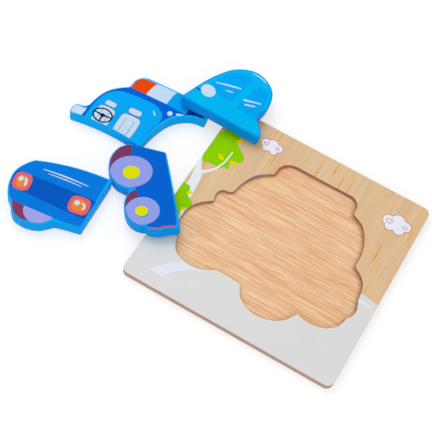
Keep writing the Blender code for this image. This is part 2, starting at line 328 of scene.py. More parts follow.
def mergedCopy(nodeName, pieceName, materials, choose=lambda face: 0):
    # A copy of a CAD node with its corners merged, its flats made whole and its rims marked
    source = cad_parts[nodeName].data
    up = upwards(source)
    bm = bmesh.new()
    bm.from_mesh(source)
    bmesh.ops.remove_doubles(bm, verts=bm.verts, dist=meshing["samePoint"])
    bmesh.ops.dissolve_limit(bm, angle_limit=math.radians(meshing["flatAngle"]), verts=bm.verts,
                             edges=bm.edges)
    bm.normal_update()
    for face in bm.faces:
        face.smooth = True
        face.material_index = choose(face)
    mesh = bpy.data.meshes.new(pieceName)
    bm.to_mesh(mesh)
    rim = mesh.attributes.new("rim", "FLOAT", "POINT")
    slopes = [[abs(face.normal.dot(up)) for face in vertex.link_faces] for vertex in bm.verts]
    bm.free()
    for index, near in enumerate(slopes):
        onRim = all(meshing["rimSlope"] < slope < meshing["flatSlope"] for slope in near)
        rim.data[index].value = float(onRim)
    mesh.set_sharp_from_angle(angle=math.radians(meshing["sharpAngle"]))
    for material in materials:
        mesh.materials.append(material)
    piece = addObject(pieceName, mesh)
    soften = piece.modifiers.new("flat tops", "WEIGHTED_NORMAL")
    soften.weight = meshing["softening"]
    soften.keep_sharp = True
    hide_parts(nodeName)
    return piece, up


def capLoops(piece, up):
    # The closed outlines of the flat face of a board that looks along up, the longest first
    mesh = piece.data
    level = max(vertex.co.dot(up) for vertex in mesh.vertices)
    ends = {}
    for face in mesh.polygons:
        off = abs(face.center.dot(up) - level)
        if face.normal.dot(up) > meshing["flatSlope"] and off < meshing["levelSlack"]:
            corners = list(face.vertices)
            for first, second in zip(corners, corners[1:] + corners[:1]):
                if second in ends and first in ends[second]:
                    ends[second].discard(first)
                else:
                    ends.setdefault(first, set()).add(second)
    following = {first: min(seconds) for first, seconds in ends.items() if seconds}
    loops = []
    while following:
        start = next(iter(following))
        loop = [start]
        while loop[-1] in following:
            loop.append(following.pop(loop[-1]))
        loops.append([mesh.vertices[index].co.copy() for index in loop[:-1]])
    return sorted(loops, key=lambda loop: -sum((a - b).length for a, b in zip(loop, loop[1:])))


# Drawing, in millimetres
drawing = {
    "step": 0.4, "straight": 0.01,  # length of an arc's parts, and a bow too small to draw
    "capBow": 0.48, "capStep": 0.2,  # a line's end, a little flatter than a half circle
    "quarterBow": 0.29,  # a quarter circle's bow, against its radius
}


def bowed(start, end, bow, step=drawing["step"]):
    # Points after start, up to end, on an arc whose middle stands bow to the left of its chord
    start, end = Vector(start), Vector(end)
    chord = end - start
    if abs(bow) < drawing["straight"]:
        return [end]
    radius = (chord.length_squared / 4 + bow * bow) / (2 * abs(bow))
    side = Vector((-chord.y, chord.x)).normalized() * math.copysign(1, bow)
    centre = (start + end) / 2 + side * (abs(bow) - radius)
    first = math.atan2(start.y - centre.y, start.x - centre.x)
    sweep = math.atan2(end.y - centre.y, end.x - centre.x) - first
    sweep = (sweep + math.pi) % (2 * math.pi) - math.pi
    count = max(2, math.ceil(abs(sweep) * radius / step))
    angles = [first + sweep * i / count for i in range(1, count + 1)]
    return [centre + Vector((math.cos(angle), math.sin(angle))) * radius for angle in angles]


def curve(*knots):
    # An open run of points through knots; a knot's third number bows the side that leads to it
    points = [Vector(knots[0][:2])]
    for before, knot in zip(knots, knots[1:]):
        points += bowed(before[:2], knot[:2], knot[2] if len(knot) > 2 else 0.0)
    return points


def shape(*knots):
    # A closed outline through knots, clockwise, so that a positive bow bulges outwards
    return curve(knots[-1], *knots)[1:]


def ellipse(x, y, wide, high, turn=0.0):
    count = max(16, round((wide + high) * 5))
    spin = Matrix.Rotation(math.radians(turn), 2)
    angles = [2 * math.pi * i / count for i in range(count)]
    return [spin @ Vector((wide * math.cos(a), high * math.sin(a))) + Vector((x, y)) for a in angles]


def roundedBox(x, y, wide, high, corner, turn=0.0, swell=0.25):
    # A box whose sides swell a little, as a drawn lamp's do
    spin = Matrix.Rotation(math.radians(turn), 2)
    w, h, c = wide / 2, high / 2, corner
    knots = [(-w, h - c), (c - w, h), (w - c, h), (w, h - c),
             (w, c - h), (w - c, -h), (c - w, -h), (-w, c - h)]
    bows = [swell, c * drawing["quarterBow"]] * 4
    return shape(*[(*(spin @ Vector(knot) + Vector((x, y))), bow) for knot, bow in zip(knots, bows)])


def stroke(points, widths):
    # A drawn line with round ends; of two widths it runs from one to the other, and of three
    # from the first over the second, at its middle, to the third
    points = [Vector(point) for point in points]
    if isinstance(widths, (int, float)):
        widths = (widths, widths)
    count = len(points) - 1
    halves = [(widths[0] + (widths[-1] - widths[0]) * i / count) / 2 for i in range(count + 1)]
    if len(widths) == 3:
        ends = [widths[0 if i * 2 < count else 2] for i in range(count + 1)]
        halves = [(widths[1] + (end - widths[1]) * abs(2 * i / count - 1)) / 2 for i, end in enumerate(ends)]
    sides = []
    for i, point in enumerate(points):
        ahead = (points[min(i + 1, count)] - points[max(i - 1, 0)]).normalized()
        sides.append(Vector((-ahead.y, ahead.x)))
    left = [point + side * half for point, side, half in zip(points, sides, halves)]
    right = [point - side * half for point, side, half in zip(points, sides, halves)]
    caps = [bowed(first, last, (first - last).length * drawing["capBow"], drawing["capStep"])[:-1]
            for first, last in ((left[-1], right[-1]), (right[0], left[0]))]
    return left + caps[0] + right[::-1] + caps[1]


def grown(loop, by):
    # A convex outline moved outwards
    centre = sum(loop, Vector((0, 0))) / len(loop)
    return [point + (point - centre).normalized() * by for point in loop]


def counterClockwise(loop):
    area = sum(a.x * b.y - b.x * a.y for a, b in zip(loop, loop[1:] + loop[:1]))
    return loop if area > 0 else loop[::-1]


# A print: one thin sheet, parted where the drawn shapes overlap, the last drawn on top
printing = {"thickness": 0.04, "samePoint": 0.002, "flatAngle": 0.001}  # in millimetres and radians


def printSheet(name, place, caps, drawn, inks, thickness=printing["thickness"]):
    flatten = place.inverted()
    loops = [[(flatten @ point).xy for point in loop] for loop in caps]
    drawn = [(None, loops[0])] + drawn + [("hole", loop) for loop in loops[1:]]
    corners = []
    faces = []
    for _, loop in drawn:
        loop = counterClockwise(list(loop))
        faces.append(list(range(len(corners), len(corners) + len(loop))))
        corners += loop
    # 1 asks for triangles inside the outlines only
    points, _, pieces, _, _, owners = delaunay_2d_cdt(corners, [], faces, 1, printing["samePoint"])
    names = list(inks)
    bm = bmesh.new()
    verts = [bm.verts.new((point.x, point.y, 0)) for point in points]
    for corner, owner in zip(pieces, owners):
        ink = drawn[max(owner)][0] if 0 in owner else None
        if ink in inks:
            bm.faces.new([verts[i] for i in corner]).material_index = names.index(ink)
    bmesh.ops.delete(bm, geom=[vert for vert in bm.verts if not vert.link_faces], context="VERTS")
    bmesh.ops.dissolve_limit(bm, angle_limit=printing["flatAngle"], verts=bm.verts, edges=bm.edges,
                             delimit={"MATERIAL"})
    risen = bmesh.ops.extrude_face_region(bm, geom=bm.faces[:])["geom"]
    bmesh.ops.translate(bm, verts=[item for item in risen if isinstance(item, bmesh.types.BMVert)],
                        vec=(0, 0, thickness))
    bm.transform(place)
    bmesh.ops.recalc_face_normals(bm, faces=bm.faces)
    mesh = bpy.data.meshes.new(name)
    bm.to_mesh(mesh)
    bm.free()
    for ink in names:
        mesh.materials.append(inks[ink])
    return addObject(name, mesh)


# Where a piece's drawing lies: centre is the point of the whole car that the piece turns
# about, in millimetres, and spot is that point's place on the table, in metres
def carPlace(piece, up, centre, spot, turn):
    level = max(vertex.co.dot(up) for vertex in piece.data.vertices)
    x, y = spot
    origin = Vector((x, y, (level - up.x * x - up.y * y) / up.z))
    lean = Vector((0, 0, 1)).rotation_difference(up).to_matrix().to_4x4()
    turned = Matrix.Translation(origin) @ lean @ Matrix.Rotation(math.radians(turn), 4, "Z")
    return turned @ Matrix.Scale(mm, 4) @ Matrix.Translation((-centre[0], -centre[1], 0))


def dressPiece(body, looks, draw):
    # Each piece's rim colour is lighter than its paint: rubbed paint and a painted highlight
    paint = coatMaterial(looks["name"] + "Paint", looks["paint"], looks["turn"], coats["paint"],
                         looks["rim"])
    piece, up = mergedCopy(looks["node"], looks["name"], [paint])
    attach(piece, body)
    place = carPlace(piece, up, looks["centre"], looks["spot"], looks["turn"])
    inks = inkSet(looks["name"], looks["inks"], looks["turn"])
    sheet = printSheet(looks["name"] + "Print", place, capLoops(piece, up), draw(), inks)
    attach(sheet, body)
    print(looks["name"], "dressed")


# Hood piece
hood = {
    "name": "hood", "node": "hood_piece",
    "centre": (-31.0, -21.0), "spot": (-0.1389, -0.0532), "turn": 16.4,
    "paint": (0, 170, 252), "rim": (10, 180, 254),
    "inks": {
        "blue": (0, 123, 225), "band": (0, 89, 195), "arch": (132, 62, 98), "tyre": (162, 168, 236),
        "lampRim": (238, 98, 104), "lamp": (236, 140, 62), "gleam": (212, 226, 244),
    },
}


def drawHood():
    lamps = []
    for x, y, wide, high, turn in ((-53.4, -18.4, 11.6, 13.0, -4.0), (-13.5, -25.1, 13.5, 12.7, -4.0)):
        lamps += [("lampRim", roundedBox(x, y, wide, high, 3.7, turn)),
                  ("lamp", roundedBox(x - 0.1, y, wide - 4.3, high - 4.3, 2.6, turn))]
    return [
        ("blue", shape((-66, -30.5, 1.5), (-66, 6), (2, 6), (-0.7, -1.2), (-8.5, -40.8))),
        ("arch", shape((-55.8, -33.1, 4.6), (-46.8, -35.4), (-40.3, -45.4, -2.0))),
        ("tyre", shape((-46.8, -35.4, 2.0), (-27.0, -38.7), (-40.3, -45.4, 2.4))),
        ("band", shape((-66, -10.6), (-3.9, -19.2, 0.8), (-7.4, -34.3), (-66, -22.4, 0.2))),
        *lamps,
        ("gleam", ellipse(-54.8, -16.6, 1.6, 2.0, -20)),
        ("gleam", stroke(curve((-51.8, -15.8), (-50.9, -20.4, 0.4)), (1.6, 1.7))),
        ("gleam", ellipse(-15.3, -23.6, 1.8, 1.9, -25)),
        ("gleam", stroke(curve((-12.0, -23.1), (-10.3, -27.0, 1.1)), (1.2, 1.5))),
        ("gleam", stroke(curve((-43.0, -5.6), (-12.0, -9.6, 0.5)), (0.5, 1.1, 0.5))),
        ("gleam", stroke(curve((-39.0, -8.0), (-16.0, -11.2, 0.3)), (0.4, 0.8, 0.4))),
    ]


# Windscreen piece
windscreen = {
    "name": "windscreen", "node": "windscreen_piece",
    "centre": (-12.0, 29.0), "spot": (-0.1286, 0.0344), "turn": 3.6,
    "paint": (0, 184, 255), "rim": (10, 186, 255),
    "inks": {
        "roof": (0, 98, 214), "glass": (0, 170, 249), "shell": (205, 226, 248),
        # The darkest blue is the roof's print under the dome's edge, darker still as painted shadow of the
        # dome
        "red": (238, 74, 0), "pale": (198, 225, 249), "navy": (0, 52, 150),
        "seat": (200, 222, 247), "line": (16, 30, 58), "end": (0, 166, 244),
    },
}


def drawSeat(x, y, size):
    # A seat back with two seams, and its headrest on two posts
    back = roundedBox(x, y + 8.0 * size, 13.0 * size, 16.6 * size, 2.8 * size)
    rest = roundedBox(x, y + 20.0 * size, 8.8 * size, 4.4 * size, 1.9 * size, 0.0, 0.02)
    drawn = [("line", stroke([(x + post * size, y + 15 * size), (x + post * size, y + 19 * size)], 0.6))
             for post in (-1.9, 1.9)]
    for part in (back, rest):
        drawn += [("line", grown(part, 0.3)), ("seat", part)]
    return drawn + [("line", stroke([(x + seam * size, y), (x + seam * size, y + 13 * size)], 0.25))
                    for seam in (-3.0, 3.0)]


def drawWheel(x, y, wide, high):
    # A steering wheel with three spokes, its ring drawn in two halves
    rings = [stroke([Vector((x + wide * math.cos(angle), y + high * math.sin(angle)))
                     for angle in [half + 3.3 * i / 16 for i in range(17)]], 1.1) for half in (0.02, 3.1)]
    spokes = [stroke([(x, y), (x + wide * dx, y + high * dy)], (1.5, 0.9))
              for dx, dy in ((-1, 0.1), (1, 0.1), (0, -1))]
    return [("line", loop) for loop in rings + spokes + [ellipse(x, y, 1.8, 1.5)]]


def drawWindscreen():
    return [
        ("roof", shape((-42.9, 0), (-42.9, 12.6), (-47, 15), (-47, 30), (-36, 45), (-25, 41.4),
                       (0, 41.4, 0.1), (12.2, 40.4), (18.6, 40.2), (18.9, 39.3), (10.2, 34.2, -0.8),
                       (3.4, 18.0, -0.8), (0.9, 3.0))),
        ("glass", shape((-40.8, 3), (-40.4, 14.5), (-39.6, 20.5, 0.1), (-38.0, 26.2, 0.1),
                        (-34.2, 31.9, 0.4), (-30.6, 34.4, 0.3), (-26.0, 35.8, 0.3), (-15.6, 37.0, 0.1),
                        (-6.0, 37.0, 0.1), (-0.1, 35.2, 0.4), (3.6, 32.2, 0.3), (4.9, 28.5, 0.4),
                        (4.6, 23.8, 0.1), (2.9, 18.6), (2.2, 13.0), (2.7, 3.0))),
        ("shell", shape((-49.8, 3), (-51.0, 5.4, 0.1), (-51.0, 7.2, 0.1), (-50.3, 8.9, 0.2),
                        (-48.6, 10.2, 0.3), (-46.6, 10.5, 0.2), (-44.4, 10.2, -0.2), (-42.3, 10.8),
                        (-42.9, 4.6))),
        ("end", shape((2.3, 41.3), (2.9, 47.5), (4.2, 53.4), (30, 53.4), (30, 43.5), (14, 40.4))),
        ("red", shape((-25.0, 41.3), (-24.7, 45.6), (-19.0, 52.6, 1.7), (-10.3, 53.2),
                      (-12.4, 48.0, -0.4), (-13.3, 41.3, -0.2))),
        ("pale", shape((-13.3, 41.3), (-12.4, 48.0, 0.2), (-10.3, 53.2, 0.4), (4.2, 53.4),
                       (2.9, 47.5, -0.3), (2.3, 41.3, -0.1))),
        # The roof's dark print under the dome's edge, darkened as painted shadow of the dome
        ("navy", shape((17.5, 39.9), (17.5, 44.8), (28.9, 44.8), (28.9, 43.5), (23.0, 41.6, -0.3))),
        ("shell", ellipse(7.8, 35.6, 1.8, 2.0)),
        ("shell", stroke(curve((12.6, 37.3), (16.6, 39.0, 0.2)), (1.9, 0.8))),
        *drawSeat(-30.2, 4.0, 0.92), *drawSeat(-12.8, 3.4, 1.06), *drawWheel(-30.6, 11.4, 6.6, 5.4),
        ("shell", stroke([(-2.6, 31.6), (-0.6, 29.4)], (0.7, 1.1))),
    ]


# Side piece
side = {
    "name": "side", "node": "side_piece",
    "centre": (29.0, -30.0), "spot": (-0.092328, -0.0185), "turn": -63.8,
    "paint": (0, 157, 244), "rim": (10, 170, 250),
    "inks": {
        "blue": (0, 100, 209), "arch": (122, 58, 98), "tyre": (149, 161, 236), "hub": (226, 226, 0),
        "hubShade": (0, 158, 214), "stripe": (226, 62, 84),
    },
}


def drawSide():
    return [
        ("blue", shape((-9, -41.8), (-9, -8), (38.6, -8), (38.6, -9.9), (58.3, -7.4), (58.9, -13),
                       (60.0, -16.8), (61.0, -18.8), (60.9, -25.5), (57.0, -26), (48, -32), (36, -34.1),
                       (31.8, -35.6), (29.8, -36.5), (17, -40), (5, -41.2))),
        ("arch", shape((-9, -41.8), (5, -41.2), (17, -40), (17, -60), (-9, -60))),
        ("arch", shape((31.8, -35.6), (36, -34.1), (48, -32), (47.5, -45), (38, -45))),
        ("tyre", ellipse(17.6, -39.9, 12.5, 13.9)),
        ("tyre", ellipse(47.9, -29.9, 10.6, 11.1)),
        ("hub", ellipse(18.4, -39.8, 5.2, 5.6)),
        ("hubShade", ellipse(49.0, -29.9, 3.9, 4.2)),
        ("hub", ellipse(48.1, -30.4, 3.9, 4.2)),
        ("stripe", stroke(curve((58.1, -7.9), (58.5, -12.7), (59.1, -15.9), (60.4, -17.6), (60.7, -21.0),
                                (60.5, -25.1)), 0.95)),
    ]


# Dome piece
dome = {
    "name": "dome", "node": "dome_piece",
    "centre": (29.0, 8.0), "spot": (-0.076025, 0.07111), "turn": -8.8,
    "paint": (0, 152, 240), "rim": (10, 160, 246),
    "inks": {
        "blue": (0, 186, 247), "glass": (0, 170, 249), "gleam": (205, 227, 250), "deep": (0, 120, 222),
    },
}


def drawDome():
    return [
        ("blue", shape((-20, -40), (-20, 60), (80, 60), (80, -40))),
        ("glass", shape((8.6, 4.0, 0.3), (9.8, 14.0, 0.2), (12.6, 22.3, 0.3), (16.8, 28.6, 0.3),
                        (22.0, 31.6, 0.4), (26.4, 31.6, 0.2), (27.5, 30.0, 0.3), (27.5, 5.8),
                        (26.2, 4.3, 0.3))),
        ("glass", shape((33.0, 6.0, 0.2), (33.4, 29.4), (34.4, 30.8, 0.2), (38.5, 31.6, 0.1),
                        (43.0, 28.2, 0.5), (46.6, 20.0, 0.5), (48.2, 6.6, 0.3), (47.2, 5.5, 0.2),
                        (34.0, 5.2))),
        ("deep", shape((3.0, -4.0), (4.5, -2.2), (9.0, -1.6), (9.0, -3.7))),
        ("gleam", ellipse(11.25, 1.0, 5.2, 5.05)),
        ("gleam", stroke([(10.7, 10.5), (18.0, 15.0), (25.8, 19.3)], (0.7, 1.4, 1.0))),
        ("gleam", stroke([(19.6, 10.4), (22.0, 11.8), (24.0, 12.7)], (0.6, 0.9, 0.5))),
        ("gleam", stroke([(33.3, 13.8), (43.3, 19.7)], (1.5, 0.9))),
        ("gleam", stroke([(36.0, 11.1), (41.5, 14.8)], (1.3, 0.9))),
        ("gleam", shape((23.2, 35.5, -1.0), (36.4, 36.1, 1.8))),
    ]


# Tray: a bare base board and a printed frame board, whose grain runs along Y
tray = {
    "inks": {
        "road": (227, 227, 227), "dash": (232, 238, 247), "trunk": (238, 242, 248), "leaf": (146, 213, 0),
        "cloud": (240, 243, 252), "cloudLine": (208, 112, 72),
        "kerfWarm": (240, 122, 70), "kerfCool": (150, 168, 214),  # paint left on the recess's rim
    },
    "glue": (150, 114, 92), "glueThickness": 0.3,
    "grainTurn": 90.0,
    "outerEdge": 0.0735,  # walls farther out than this, in metres, are the boards' edge
    "cloudLine": 0.42, "curlLine": 0.44,  # drawn lines' width, in millimetres
    "curlSteps": 22, "curlCloses": 0.6,  # parts of each turn, and how far a curl closes in
}
beech = {
    "pale": (252, 221, 181), "middle": (243, 196, 149), "dark": (226, 158, 106), "fleck": (204, 136, 92),
    "rim": (240, 205, 165), "gloss": (0.5, 0.62), "specular": 0.12,
    # Streaks' scale along and across the grain
    "broad": (12.0, 420.0), "fine": (42.0, 2100.0), "flecks": (100.0, 2600.0),
    "fineRange": (0.43, 0.64), "fineShare": 0.72,
    "fleckRange": (0.52, 0.66), "fleckShare": 0.4, "fleckPatch": (0.3, 0.5),
    # The scorch colour is painted shade, laid along the recess's wall
    "scorchAndShade": (150, 76, 42), "wallShadeShare": 0.75,
}
birch = {
    "pale": (232, 200, 159), "middle": (223, 188, 150), "dark": (229, 186, 124), "fleck": (226, 146, 50),
    "rim": (236, 212, 178), "gloss": (0.45, 0.58), "specular": 0.12,
    "broad": (14.0, 300.0), "fine": (30.0, 700.0), "flecks": (34.0, 700.0),
    "fineRange": (0.44, 0.7), "fineShare": 0.6,
    "fleckRange": (0.675, 0.74), "fleckShare": 0.95, "fleckPatch": (0.2, 0.4),
}
sawn = {"pale": (212, 182, 160), "dark": (198, 167, 146), "burnt": (166, 134, 114), "scorchAndShade": 0.3}
# The recess's wall: the cutter's burn, and darker than the outer edge as painted shade
routedAndShaded = {"pale": (192, 148, 124), "dark": (170, 126, 104), "burnt": (132, 90, 70), "scorchAndShade": 0.5}


def trayFace(face):
    # 0 top and bottom, 1 the outer edge, 2 the recess's wall
    if abs(face.normal.z) > meshing["facesUp"]:
        return 0
    middle = face.calc_center_median()
    return 1 if max(abs(middle.x), abs(middle.y)) > tray["outerEdge"] else 2


def spiral(x, y, size, first, turns):
    # A curl that starts at its outer end and closes in round its middle
    count = max(8, round(abs(turns) * tray["curlSteps"]))
    closes = tray["curlCloses"]
    angles = [math.radians(first) + 2 * math.pi * turns * i / count for i in range(count + 1)]
    return [Vector((x, y)) + Vector((math.cos(a), math.sin(a))) * size * (1 - closes * i / count)
            for i, a in enumerate(angles)]


def cloudPuffs(puffs, curls):
    edge = tray["cloudLine"]
    drawn = [("cloudLine", ellipse(x, y, r + edge, r + edge)) for x, y, r in puffs]
    drawn += [("cloud", ellipse(x, y, r, r)) for x, y, r in puffs]
    return drawn + [("cloudLine", stroke(spiral(*curl), tray["curlLine"])) for curl in curls]


def drawTray():
    return [
        ("road", shape((-80, -80), (-80, -19), (-60, -18.5), (0, -12), (62, -6.2, 1.0), (80, -9.4, 0.5),
                       (80, -80))),
        ("dash", shape((-60.5, -64.8), (-53.0, -55.6), (-44.0, -48.4, 0.6), (-38.0, -44.0),
                       (-27.0, -44.0), (-31.0, -48.4), (-39.5, -52.5, -0.3), (-50.5, -65.2, -1.2))),
        ("dash", shape((60.0, -10.4), (66.0, -9.9), (71.8, -10.9), (71.2, -12.7), (66.0, -12.8),
                       (60.0, -12.0))),
        ("leaf", shape((-78, 28), (-78, 49.6), (-74.7, 51.1), (-72.7, 52.2, 0.1), (-72.1, 53.6, 0.2),
                       (-72.5, 61), (-62.4, 61), (-60.9, 55.0, 0.2), (-60.1, 52.4), (-59.3, 49.2, -0.2),
                       (-57.8, 47.5, -0.2), (-54.3, 45.2, 0.2), (-51.1, 42.6, 0.2), (-49.9, 40.1, 0.3),
                       (-50.6, 37.1, 0.5), (-53.6, 35.4, 0.4), (-56.3, 32.6), (-56.0, 30.4),
                       (-55.1, 28.5, 0.1), (-55.6, 27.3, 0.4), (-57.0, 27.8, 0.1), (-58.0, 28.1),
                       (-59.2, 26.7), (-61.4, 25.3, 0.2), (-66.0, 25.7, -0.2), (-69.8, 25.0),
                       (-72.4, 23.8, 0.3), (-75.0, 26.6, -0.2))),
        ("trunk", shape((-73.2, -20), (-72.8, 6.0, 0.1), (-73.6, 13.5, -0.1), (-74.7, 18.4), (-78, 26.0),
                        (-78, 34.0), (-74.6, 27.5), (-71.8, 21.4, -0.3), (-69.4, 17.6, -0.2),
                        (-65.2, 21.6, -0.2), (-61.8, 27.5, -0.5), (-60.1, 34.5, -0.4), (-59.6, 41.2),
                        (-58.7, 41.2, 0.42), (-59.0, 34.5), (-60.6, 26.8, 0.4), (-63.8, 20.4, 0.5),
                        (-67.7, 15.9, 0.2), (-66.6, 10.6, -0.1), (-66.0, 4.5), (-65.4, -2.0),
                        (-64.2, -13), (-61.8, -20))),
        ("leaf", shape((-78, -30), (-78, 1.8), (-74.8, 3.3, 0.1), (-72.9, 2.6, 0.1), (-70.8, 2.7, 0.1),
                       (-68.9, 1.1, 0.4), (-68.2, -1.0, 0.2), (-67.9, -3.6), (-65.8, -5.5),
                       (-63.6, -6.8, 0.1), (-62.0, -8.0, 0.1), (-61.4, -9.6, 0.2), (-62.1, -11.7, 0.3),
                       (-63.5, -13.4), (-65.1, -15.0), (-65.4, -16.9), (-64.3, -20.1), (-66, -30))),
        ("kerfWarm", stroke(curve((-27.3, 42.4), (-27.2, 45.6, 0.2), (-26.0, 49.6, 0.2),
                                  (-22.0, 53.7, 0.5)), (0.5, 1.1, 0.4))),
        ("kerfCool", stroke(curve((-40.4, 26.9), (-38.5, 31.2, 0.1), (-35.7, 35.5, 0.3),
                                  (-31.8, 38.7, 0.2)), (0.3, 0.9, 0.3))),
        *cloudPuffs([(-44.0, 61.0, 3.3), (-39.2, 62.0, 4.0), (-34.4, 61.2, 2.9), (-42.2, 57.3, 2.3),
                     (-36.4, 57.5, 2.5), (-39.3, 59.6, 3.4)],
                    [(-43.8, 61.0, 1.9, 60, -1.1), (-34.7, 61.0, 1.5, 130, 1.0)]),
        *cloudPuffs([(53.4, 53.1, 3.9), (59.6, 55.2, 5.0), (65.8, 54.0, 3.6), (56.0, 49.3, 3.3),
                     (62.6, 49.6, 3.7), (60.0, 52.0, 4.6)],
                    [(54.0, 53.0, 2.6, 50, -1.15), (65.9, 53.6, 1.9, 150, 0.9)]),
    ]


# Painted shade on the recess's floor along its wall, in millimetres: short all round, and
# longer and stronger towards one side, as the wall's shadow from a light on that side
paintedWallShade = {
    "cell": 0.6, "sample": 0.1, "lift": 0.02, "short": 1.6, "long": 4.0, "faint": 0.3,
    "side": (0.83, 0.56), "fade": 1.6,
}


def rowCuts(ring, y):
    # Where a line along X crosses the outline
    return [a.x + (b.x - a.x) * (y - a.y) / (b.y - a.y)
            for a, b in zip(ring, ring[1:] + ring[:1]) if (a.y > y) != (b.y > y)]


def wallTree(ring):
    # Finds the point of the recess's wall that is nearest to a place
    wall = []
    for a, b in zip(ring, ring[1:] + ring[:1]):
        parts = math.ceil((b - a).length / (paintedWallShade["sample"] * mm))
        wall += [a.lerp(b, k / parts) for k in range(parts)]
    near = KDTree(len(wall))
    for index, point in enumerate(wall):
        near.insert((point.x, point.y, 0), index)
    near.balance()
    return near


def paintedShadeShare(x, y, inside, near):
    # How strong the painted shade is at a place on the floor; it goes on rising under the frame board
    edge, _, far = near.find((x, y, 0))
    lean = ((edge.x - x) * paintedWallShade["side"][0] + (edge.y - y) * paintedWallShade["side"][1]) / max(far, 1e-6)
    lean = max(0.0, lean if inside else -lean)
    reach = (paintedWallShade["short"] + (paintedWallShade["long"] - paintedWallShade["short"]) * lean) * mm
    depth = paintedWallShade["faint"] + (1 - paintedWallShade["faint"]) * lean
    return depth * max(0.0, 1 - (far if inside else -far) / reach) ** paintedWallShade["fade"]


def shadedRecessFloor(ring, level, material):
    # The recess's floor once more, as a fine net of faces that carries the painted shade along the wall
    cell = paintedWallShade["cell"] * mm
    near = wallTree(ring)
    low = [min(point[k] for point in ring) - cell for k in (0, 1)]
    columns, rows = (int((max(point[k] for point in ring) - low[k]) / cell) + 2 for k in (0, 1))
    places, within = [], []
    for row in range(rows):
        y = low[1] + row * cell
        cuts = rowCuts(ring, y)
        for column in range(columns):
            x = low[0] + column * cell
            places.append((x, y, level + paintedWallShade["lift"] * mm))
            within.append(sum(cut < x for cut in cuts) % 2 == 1)
    quads = [(k, k + 1, k + 1 + columns, k + columns) for row in range(rows - 1)
             for k in range(row * columns, row * columns + columns - 1)]
    quads = [quad for quad in quads if any(within[k] for k in quad)]
    kept = sorted({k for quad in quads for k in quad})
    order = {k: index for index, k in enumerate(kept)}
    mesh = bpy.data.meshes.new("recessFloor")
    mesh.from_pydata([places[k] for k in kept], [], [[order[k] for k in quad] for quad in quads])
    scorchAndShade = mesh.attributes.new("scorchAndShade", "FLOAT", "POINT")
    for index, k in enumerate(kept):
        scorchAndShade.data[index].value = paintedShadeShare(places[k][0], places[k][1], within[k], near)
    mesh.materials.append(material)
    floor = addObject("recessFloor", mesh)
    body = floor.modifiers.new("thickness", "SOLIDIFY")
    body.thickness = paintedWallShade["lift"] * mm
    body.offset = -1.0
    return floor


def dressTray():
    bare = boardMaterial("beechFloor", beech)
    printed = boardMaterial("birchTop", birch, tray["grainTurn"])
    edge = sawnMaterial("sawnEdge", sawn)
    wall = sawnMaterial("routedWallAndShade", routedAndShaded)
    base, _ = mergedCopy("tray_base", "trayBase", [bare, edge, wall], trayFace)
    board, up = mergedCopy("tray_frame", "trayFrame", [printed, edge, wall], trayFace)
    caps = capLoops(board, up)
    level = caps[0][0].z
    place = Matrix.Translation((0, 0, level)) @ Matrix.Scale(mm, 4)
    inks = inkSet("tray", tray["inks"], tray["grainTurn"])
    sheet = printSheet("trayPrint", place, caps, drawTray(), inks)
    glue = coatMaterial("glue", tray["glue"], 0.0, coats["ink"])
    under = capLoops(board, Vector((0, 0, -1)))
    place = Matrix.Translation((0, 0, under[0][0].z - tray["glueThickness"] * mm)) @ Matrix.Scale(mm, 4)
    allOver = shape((-90, -90), (-90, 90), (90, 90), (90, -90))
    seam = printSheet("glueLine", place, under, [("glue", allOver)], {"glue": glue},
                      tray["glueThickness"])
    # A floor net that carries painted shade along the recess's wall
    floor = shadedRecessFloor(caps[1], max(vertex.co.z for vertex in base.data.vertices), bare)
    for piece in (base, board, sheet, seam, floor):
        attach(piece, "tray")
    print("tray dressed")
    return level


# Leaves: one shape, set at points that carry their own turn and size
leaves = {
    "long": 3.0, "wide": 1.75, "thick": 0.03, "lift": 0.002,  # half length and half width, in millimetres
    "taper": 0.55, "bend": 0.25, "corners": 28, "colour": (236, 222, 0),
    "spots": [(-59.0, 51.4, 29, 1.0), (-63.9, 33.7, -32, 1.05), (-54.6, 34.2, 15, 1.0),
              (-67.5, -2.0, 34, 0.76), (-64.8, -15.2, 12, 0.72)],  # x, y, turn and size
}


